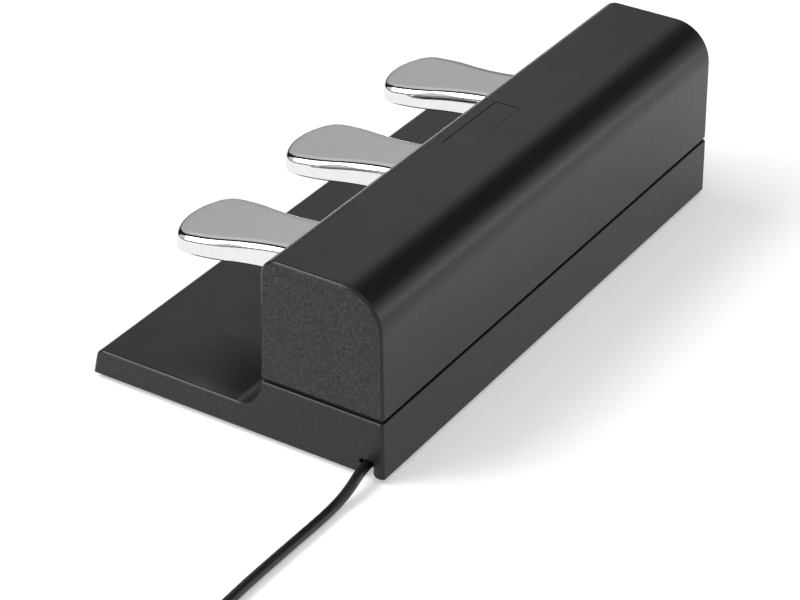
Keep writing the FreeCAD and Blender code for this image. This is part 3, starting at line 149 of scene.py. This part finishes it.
class Nodes:
    """Short ways to add and join shader nodes in one tree."""

    def __init__(self, tree):
        self.tree = tree
        tree.nodes.clear()

    def add(self, kind, **settings):
        """A new node with these settings."""
        node = self.tree.nodes.new(kind)
        for name, value in settings.items():
            setattr(node, name, value)
        return node

    def link(self, source, target):
        """Joins an output to an input."""
        self.tree.links.new(source, target)

    def put(self, value, socket):
        """Links a socket or sets a plain value."""
        if isinstance(value, bpy.types.NodeSocket):
            self.link(value, socket)
        else:
            socket.default_value = value

    def math(self, operation, first, second=0.0, clamp=False):
        """One number worked out from one or two."""
        node = self.add("ShaderNodeMath", operation=operation, use_clamp=clamp)
        self.put(first, node.inputs[0])
        self.put(second, node.inputs[1])
        return node.outputs[0]

    def vector_math(self, operation, *vectors):
        """One vector worked out from one or two."""
        node = self.add("ShaderNodeVectorMath", operation=operation)
        for vector, socket in zip(vectors, node.inputs):
            self.link(vector, socket)
        return node.outputs["Vector"]

    def brightened(self, colour, gain):
        """The same colour, so many times as bright."""
        node = self.add("ShaderNodeVectorMath", operation="SCALE")
        self.link(colour, node.inputs[0])
        node.inputs["Scale"].default_value = gain
        return node.outputs["Vector"]

    def place(self):
        """The point on the piece in metres, in the frame of the part at rest."""
        return self.add("ShaderNodeTexCoord").outputs["Object"]

    def axes(self, vector):
        """The X, Y and Z of a vector."""
        node = self.add("ShaderNodeSeparateXYZ")
        self.link(vector, node.inputs[0])
        return [node.outputs[axis] for axis in "XYZ"]

    def stretched(self, vector, scale):
        """The point with each axis scaled by itself."""
        node = self.add("ShaderNodeMapping")
        self.link(vector, node.inputs["Vector"])
        node.inputs["Scale"].default_value = scale
        return node.outputs["Vector"]

    def noise(self, vector, scale, detail=2.0, rough=0.5):
        """Noise from 0 to 1, of about so many blots a metre."""
        node = self.add("ShaderNodeTexNoise")
        self.link(vector, node.inputs["Vector"])
        node.inputs["Scale"].default_value = scale
        node.inputs["Detail"].default_value = detail
        node.inputs["Roughness"].default_value = rough
        return node.outputs["Fac"]

    def spread(self, value, band, to=(0.0, 1.0)):
        """The first of to below the band and the second above it, with a straight run between."""
        node = self.add("ShaderNodeMapRange")
        self.link(value, node.inputs["Value"])
        node.inputs["From Min"].default_value = band[0]
        node.inputs["From Max"].default_value = band[1]
        node.inputs["To Min"].default_value = to[0]
        node.inputs["To Max"].default_value = to[1]
        return node.outputs["Result"]

    def mixed(self, share, first, second):
        """The first colour where the share is 0 and the second where it is 1."""
        node = self.add("ShaderNodeMix", data_type="RGBA")
        self.put(share, node.inputs["Factor"])
        self.put(first, node.inputs["A"])
        self.put(second, node.inputs["B"])
        return node.outputs["Result"]

    def ramp(self, value, stops):
        """Greys along a value from 0 to 1; each stop is a place and a shade."""
        node = self.add("ShaderNodeValToRGB")
        self.link(value, node.inputs["Fac"])
        elements = node.color_ramp.elements
        for element, (position, shade) in zip(elements[:2], (stops[0], stops[-1])):
            element.position = position
            element.color = grey(shade)
        for position, shade in stops[1:-1]:
            elements.new(position).color = grey(shade)
        return node.outputs["Color"]

    def bump(self, height, distance, under=None):
        """The normal of a surface with this height on it, over another normal where one is given."""
        node = self.add("ShaderNodeBump")
        self.link(height, node.inputs["Height"])
        node.inputs["Distance"].default_value = distance
        node.inputs["Strength"].default_value = 1.0
        if under is not None:
            self.link(under, node.inputs["Normal"])
        return node.outputs["Normal"]

    def surface(self, colour, roughness, normal, metallic=0.0, specular=0.5, sheen=0.0):
        """The material's shader, joined to its output."""
        shader = self.add("ShaderNodeBsdfPrincipled")
        self.link(colour, shader.inputs["Base Color"])
        self.link(roughness, shader.inputs["Roughness"])
        self.link(normal, shader.inputs["Normal"])
        shader.inputs["Metallic"].default_value = metallic
        shader.inputs["Specular IOR Level"].default_value = specular
        shader.inputs["Sheen Weight"].default_value = sheen
        self.link(shader.outputs[0], self.add("ShaderNodeOutputMaterial").inputs[0])


def grey(shade):
    """A colour with the same red, green and blue."""
    return (shade, shade, shade, 1.0)


def scaled(colour, gain):
    """A colour so many times as bright, up to full brightness."""
    return tuple(min(1.0, channel * gain) for channel in colour[:3]) + (1.0,)


def new_material(name):
    """A material with an empty node tree, and the short ways into it."""
    material = bpy.data.materials.new(name)
    material.use_nodes = True
    return material, Nodes(material.node_tree)


def add_object(name, data):
    """A new object in the scene."""
    thing = bpy.data.objects.new(name, data)
    bpy.context.scene.collection.objects.link(thing)
    return thing


def finished(name, colour, roughness, metallic=0.0, mottle=0.12, mottle_scale=40.0,
             grain_scale=1800.0, grain_height=0.00002, rough_spread=0.08,
             stretch=(1.0, 1.0, 1.0), specular=0.5, sheen=0.0):
    """A finish with drifting colour, drifting gloss and a fine grain, shared by most pieces."""
    material, n = new_material(name)
    place = n.place()
    drift = n.noise(place, mottle_scale, detail=4.0)
    gloss = n.noise(place, mottle_scale * GLOSS_FINENESS, detail=5.0)
    grain = n.noise(n.stretched(place, stretch), grain_scale)
    darker = scaled(colour, 1.0 - mottle)
    lighter = scaled(colour, 1.0 + mottle)
    smoothest = max(LEAST_ROUGHNESS, roughness - rough_spread)
    n.surface(
        colour=n.mixed(n.spread(drift, NOISE_BAND), darker, lighter),
        roughness=n.spread(gloss, NOISE_BAND, to=(smoothest, roughness + rough_spread)),
        normal=n.bump(grain, grain_height),
        metallic=metallic,
        specular=specular,
        sheen=sheen,
    )
    return material


def moulded_plastic(name, roughness, painted_end_glints):
    """Black moulded plastic: a satin skin with thin dust, and a coarser spark texture on end walls,
    whose lighter specks are painted glints that make the end walls lighter.
    """
    material, n = new_material(name)
    place = n.place()
    facing = n.axes(n.add("ShaderNodeTexCoord").outputs["Normal"])
    on_end = n.spread(n.math("ABSOLUTE", facing[0]), END_WALL_BAND)
    skin = n.noise(place, scale=2600.0)
    spark = n.noise(place, scale=1100.0, detail=3.0, rough=0.75)
    gloss = n.noise(place, scale=70.0, detail=5.0)
    dust = n.spread(n.noise(place, scale=24.0), DUST_BAND, to=(0.0, DUST_SHARE))
    # The spark texture's bumps are real; its lighter specks on the end walls are painted glints, which
    # also lighten those walls
    painted_glints = n.math("MULTIPLY", n.spread(spark, PAINTED_GLINT_BAND, to=(0.0, painted_end_glints)), on_end)
    with_painted_glints = n.mixed(painted_glints, PLASTIC_BLACK, scaled(PLASTIC_BLACK, PAINTED_GLINT_GAIN))
    smoothest = roughness - PLASTIC_SMOOTHER
    n.surface(
        colour=n.mixed(dust, with_painted_glints, scaled(PLASTIC_BLACK, DUST_GAIN)),
        roughness=n.spread(gloss, NOISE_BAND, to=(smoothest, roughness + PLASTIC_ROUGHER)),
        normal=n.bump(n.math("MULTIPLY", spark, on_end), SPARK_HEIGHT, under=n.bump(skin, SKIN_HEIGHT)),
        specular=PLASTIC_SPECULAR,
    )
    return material


def chrome(name):
    """Bright plating over a casting whose upright sides lean a little, with faint polishing waves,
    fine hairs along the pedal and a few fingerprints."""
    material, n = new_material(name)
    place = n.place()
    waves = n.noise(place, scale=55.0, detail=1.0)
    prints = n.noise(place, scale=180.0, detail=5.0, rough=0.65)
    hairs = n.noise(n.stretched(place, HAIR_STRETCH), scale=420.0)
    facing = n.add("ShaderNodeNewGeometry").outputs["Normal"]
    levelness = n.math("ABSOLUTE", n.axes(facing)[2])
    draft = n.add("ShaderNodeCombineXYZ")
    n.link(n.spread(levelness, UPRIGHT_BAND, to=(CASTING_DRAFT, 0.0)), draft.inputs["Z"])
    leaning = n.vector_math("NORMALIZE", n.vector_math("ADD", facing, draft.outputs[0]))
    print_roughness = n.spread(prints, PRINT_GLOSS_BAND, to=PRINT_ROUGHNESS)
    hair_roughness = n.spread(hairs, HAIR_GLOSS_BAND, to=HAIR_ROUGHNESS)
    n.surface(
        colour=n.mixed(n.spread(prints, PRINT_BAND), CHROME_CLEAN, CHROME_TOUCHED),
        roughness=n.math("ADD", print_roughness, hair_roughness),
        normal=n.bump(hairs, HAIR_HEIGHT, under=n.bump(waves, WAVE_HEIGHT, under=leaning)),
        metallic=1.0,
    )
    return material


def board_finish(name):
    """Green solder mask over copper runs that follow the board's length, over woven glass."""
    material, n = new_material(name)
    place = n.place()
    runs = n.add("ShaderNodeTexWave", wave_type="BANDS", bands_direction="Z")
    n.link(place, runs.inputs["Vector"])
    runs.inputs["Scale"].default_value = TRACE_SCALE
    runs.inputs["Distortion"].default_value = TRACE_WANDER
    traces = n.spread(runs.outputs["Fac"], TRACE_BAND)
    weave = n.noise(n.stretched(place, WEAVE_STRETCH), scale=1500.0)
    n.surface(
        colour=n.mixed(traces, MASK_GREEN, TRACE_GREEN),
        roughness=n.spread(weave, NOISE_BAND, to=WEAVE_ROUGHNESS),
        normal=n.bump(traces, TRACE_HEIGHT, under=n.bump(weave, WEAVE_HEIGHT)),
    )
    return material


# Settings of the slots that take the shared finish; noise scales are per metre, grain heights in metres
FINISHES = {
    "bare_plate": dict(
        colour=grey(0.0043), roughness=0.27, rough_spread=0.02, mottle=0.1, grain_height=0.00001,
        specular=PLASTIC_SPECULAR),
    "sheet_steel": dict(
        colour=(0.56, 0.57, 0.58, 1.0), roughness=0.36, metallic=1.0, mottle=0.08,
        stretch=(0.1, 1.0, 1.0), grain_scale=900.0, grain_height=0.000008),
    "plated_fastener": dict(
        colour=(0.62, 0.61, 0.56, 1.0), roughness=0.3, metallic=1.0, mottle_scale=300.0,
        grain_height=0.000006),
    "shaft_steel": dict(
        colour=(0.60, 0.60, 0.61, 1.0), roughness=0.2, metallic=1.0, mottle_scale=200.0,
        stretch=(1.0, 0.1, 0.1), grain_height=0.000004),
    "spring_steel": dict(
        colour=(0.30, 0.30, 0.31, 1.0), roughness=0.32, metallic=1.0, mottle_scale=160.0,
        grain_height=0.000008),
    "foot_rubber": dict(
        colour=grey(0.03), roughness=0.75, mottle=0.2, mottle_scale=150.0, grain_scale=1300.0,
        grain_height=0.00005, specular=0.3),
    "nylon": dict(
        colour=(0.68, 0.66, 0.60, 1.0), roughness=0.45, mottle=0.05, mottle_scale=90.0),
    "black_nylon": dict(
        colour=grey(0.018), roughness=0.4, mottle=0.2, mottle_scale=120.0),
    "felt": dict(
        colour=(0.23, 0.03, 0.03, 1.0), roughness=0.95, mottle=0.35, mottle_scale=700.0,
        grain_scale=2200.0, grain_height=0.0003, specular=0.1, sheen=0.6),
    "connector_plastic": dict(
        colour=(0.66, 0.62, 0.50, 1.0), roughness=0.5, mottle=0.06),
    "wire_jacket": dict(
        colour=(0.16, 0.02, 0.02, 1.0), roughness=0.4, mottle=0.15, mottle_scale=200.0),
    "cord_jacket": dict(
        colour=grey(0.004), roughness=0.28, rough_spread=0.04, mottle=0.2, mottle_scale=130.0,
        grain_scale=2400.0, grain_height=0.000006, specular=0.4),
    "plug_rubber": dict(
        colour=grey(0.018), roughness=0.5, mottle=0.2, mottle_scale=150.0, grain_scale=2000.0,
        grain_height=0.00004),
    "plug_metal": dict(
        colour=(0.66, 0.66, 0.65, 1.0), roughness=0.24, metallic=1.0, mottle_scale=260.0,
        grain_height=0.000006),
    "contact_brass": dict(
        colour=(0.78, 0.60, 0.28, 1.0), roughness=0.26, metallic=1.0, mottle_scale=300.0,
        grain_height=0.000006),
    "tie_velour": dict(
        colour=grey(0.02), roughness=0.9, mottle=0.4, mottle_scale=900.0, grain_scale=2500.0,
        grain_height=0.0002, specular=0.15, sheen=0.4),
}


def make_materials():
    """One finish for each material slot of the record."""
    materials = {slot: finished(slot + "_look", **settings) for slot, settings in FINISHES.items()}
    materials["base_plastic"] = moulded_plastic("base_plastic_look", roughness=0.28, painted_end_glints=0.5)
    materials["cover_plastic"] = moulded_plastic("cover_plastic_look", roughness=0.27, painted_end_glints=0.9)
    materials["chromed_casting"] = chrome("chromed_casting_look")
    materials["circuit_board"] = board_finish("circuit_board_look")
    return materials


def dress_frame(nodes, materials):
    """Gives every CAD node the finish of its record slot."""
    for node in nodes.values():
        for slot in node.material_slots:
            slot.material = materials[slot.material.name.split(".")[0]]


def coil_point(turn):
    """Centre of the cord after so many turns of the coil, half way up a climb where two layers meet."""
    inwards = COIL_LAYER_TURNS - abs(turn % (2 * COIL_LAYER_TURNS) - COIL_LAYER_TURNS)
    meetings = [COIL_LAYER_TURNS * layer for layer in range(1, COIL_LAYERS)]
    climbed = sum(min(1.0, max(0.0, (turn - meeting) / COIL_CLIMB_TURNS + 0.5)) for meeting in meetings)
    angle = math.tau * turn + COIL_START_ANGLE
    radius = COIL_RADIUS - COIL_PITCH * inwards
    return (
        COIL_CENTRE[0] + radius * math.cos(angle),
        COIL_CENTRE[1] + radius * math.sin(angle),
        COIL_BASE + COIL_PITCH * climbed,
    )


def make_cord(material):
    """The whole free cord as one round curve, from the notch through the coil to the plug."""
    coil_steps = COIL_LAYERS * COIL_LAYER_TURNS * COIL_TURN_STEPS
    points = list(CORD_START)
    points += [coil_point(step / COIL_TURN_STEPS) for step in range(coil_steps + 1)]
    points += list(CORD_TAIL)
    data = bpy.data.curves.new("signal_cord", "CURVE")
    data.dimensions = "3D"
    data.bevel_depth = CORD_DIAMETER / 2.0
    data.bevel_resolution = CORD_BEVEL_RESOLUTION
    data.resolution_u = CORD_POINT_STEPS
    data.use_fill_caps = True
    line = data.splines.new("NURBS")
    line.points.add(len(points) - 1)
    for spot, point in zip(line.points, points):
        spot.co = (*point, 1.0)
    line.order_u = CORD_NURBS_ORDER
    line.use_endpoint_u = True
    data.materials.append(material)
    cord = add_object("signal_cord", data)
    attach(cord, "housing")
    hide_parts("cord", "cord_coil", "cord_tail")


def floor_look():
    """Pale and dull, lifted to white for the camera, mirrors and glass."""
    material, n = new_material("studio_floor_look")
    base = n.add("ShaderNodeBsdfDiffuse")
    base.inputs["Color"].default_value = grey(FLOOR_SHADE)
    path = n.add("ShaderNodeLightPath")
    seen = n.math("ADD", n.math("ADD", path.outputs["Is Camera Ray"], path.outputs["Is Glossy Ray"]),
                  path.outputs["Is Transmission Ray"], clamp=True)
    lift = n.add("ShaderNodeEmission")
    n.link(n.math("MULTIPLY", seen, FLOOR_LIFT), lift.inputs["Strength"])
    both = n.add("ShaderNodeAddShader")
    n.link(base.outputs[0], both.inputs[0])
    n.link(lift.outputs[0], both.inputs[1])
    n.link(both.outputs[0], n.add("ShaderNodeOutputMaterial").inputs[0])
    return material


def make_floor():
    """A pale studio floor that fills the picture and keeps the part's shadow."""
    signs = ((-1, -1), (1, -1), (1, 1), (-1, 1))
    corners = [(x * FLOOR_HALF_SIZE, y * FLOOR_HALF_SIZE, 0.0) for x, y in signs]
    mesh = bpy.data.meshes.new("studio_floor")
    mesh.from_pydata(corners, [], [(0, 1, 2, 3)])
    mesh.materials.append(floor_look())
    floor = add_object("studio_floor", mesh)
    floor.location = (0.0, 0.0, FLOOR_HEIGHT)


def wall_colour(n, right, rear, up):
    """The wall on the left: greys from its foot up, brighter to the rear and dim at its far left end."""
    slanted = n.math("ADD", n.math("ADD", up, n.math("MULTIPLY", rear, WALL_SLANT)), WALL_LIFT)
    wall = n.ramp(slanted, WALL_SHADES)
    wall = n.mixed(n.spread(rear, WALL_BRIGHT_REAR), wall, n.brightened(wall, WALL_BRIGHT_GAIN))
    return n.mixed(n.spread(right, WALL_DIM_RIGHT), grey(WALL_DIM_SHADE), wall)


def ceiling_colour(n, right, rear, up):
    """The ceiling: white to the rear, a bright strip over the player's side, and a dark left corner."""
    ceiling = n.mixed(n.spread(rear, CEILING_WHITE_REAR), n.ramp(up, CEILING_SHADES), grey(1.0))
    before_end = n.spread(rear, STRIP_END_REAR, to=(1.0, 0.0))
    strip = n.math("MULTIPLY", n.spread(rear, STRIP_START_REAR), before_end)
    strip = n.math("MULTIPLY", strip, n.spread(up, STRIP_FOOT_UP))
    ceiling = n.mixed(strip, ceiling, grey(STRIP_SHADE))
    lit = n.math("MAXIMUM", n.spread(right, CORNER_RIGHT), n.spread(rear, CORNER_REAR))
    return n.mixed(lit, grey(CORNER_SHADE), ceiling)


def make_world():
    """A plain grey studio round the part: a wall on the left and a soft ceiling over the rest."""
    world = bpy.data.worlds.new("studio")
    world.use_nodes = True
    bpy.context.scene.world = world
    n = Nodes(world.node_tree)
    axes = n.axes(n.add("ShaderNodeTexCoord").outputs["Generated"])
    over_wall = n.spread(axes[0], WALL_EDGE_RIGHT)
    sky = n.add("ShaderNodeBackground")
    n.link(n.mixed(over_wall, wall_colour(n, *axes), ceiling_colour(n, *axes)), sky.inputs["Color"])
    sky.inputs["Strength"].default_value = 1.0
    n.link(sky.outputs[0], n.add("ShaderNodeOutputWorld").inputs[0])


def make_lamp(name, place, target, size, power):
    """A soft box of this width and height that faces the target."""
    data = bpy.data.lights.new(name, "AREA")
    data.shape = "RECTANGLE"
    data.size = size[0]
    data.size_y = size[1]
    data.energy = power
    lamp = add_object(name, data)
    lamp.location = place
    lamp.rotation_euler = (Vector(target) - Vector(place)).to_track_quat("-Z", "Y").to_euler()


def make_camera():
    """The camera of the photograph, long and from above the rear right corner."""
    ahead = Vector((
        math.cos(CAMERA_YAW) * math.cos(CAMERA_PITCH),
        math.sin(CAMERA_YAW) * math.cos(CAMERA_PITCH),
        -math.sin(CAMERA_PITCH),
    ))
    level = Vector((math.sin(CAMERA_YAW), -math.cos(CAMERA_YAW), 0.0))
    above = level.cross(ahead)
    right = math.cos(CAMERA_ROLL) * level + math.sin(CAMERA_ROLL) * above
    up = -math.sin(CAMERA_ROLL) * level + math.cos(CAMERA_ROLL) * above
    data = bpy.data.cameras.new("photo_camera")
    data.sensor_width = SENSOR_WIDTH
    data.lens = CAMERA_FOCAL_PIXELS * SENSOR_WIDTH / IMAGE_WIDTH
    data.clip_start = CAMERA_NEAR
    data.clip_end = CAMERA_FAR
    camera = add_object("photo_camera", data)
    turn = Matrix((right, up, -ahead)).transposed().to_4x4()
    camera.matrix_world = Matrix.Translation(Vector(CAMERA_PLACE)) @ turn
    bpy.context.scene.camera = camera


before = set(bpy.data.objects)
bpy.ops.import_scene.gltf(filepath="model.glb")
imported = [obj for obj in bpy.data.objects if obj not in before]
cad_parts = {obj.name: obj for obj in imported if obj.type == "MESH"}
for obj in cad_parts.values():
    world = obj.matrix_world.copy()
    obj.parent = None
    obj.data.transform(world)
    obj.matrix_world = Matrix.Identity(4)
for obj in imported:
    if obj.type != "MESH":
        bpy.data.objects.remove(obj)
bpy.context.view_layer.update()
bpy.context.scene.view_settings.view_transform = "Standard"
make_camera()
make_floor()
make_world()
for lamp_name, lamp_settings in LAMPS.items():
    make_lamp(lamp_name, **lamp_settings)
finishes = make_materials()
dress_frame(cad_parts, finishes)
make_cord(finishes["cord_jacket"])
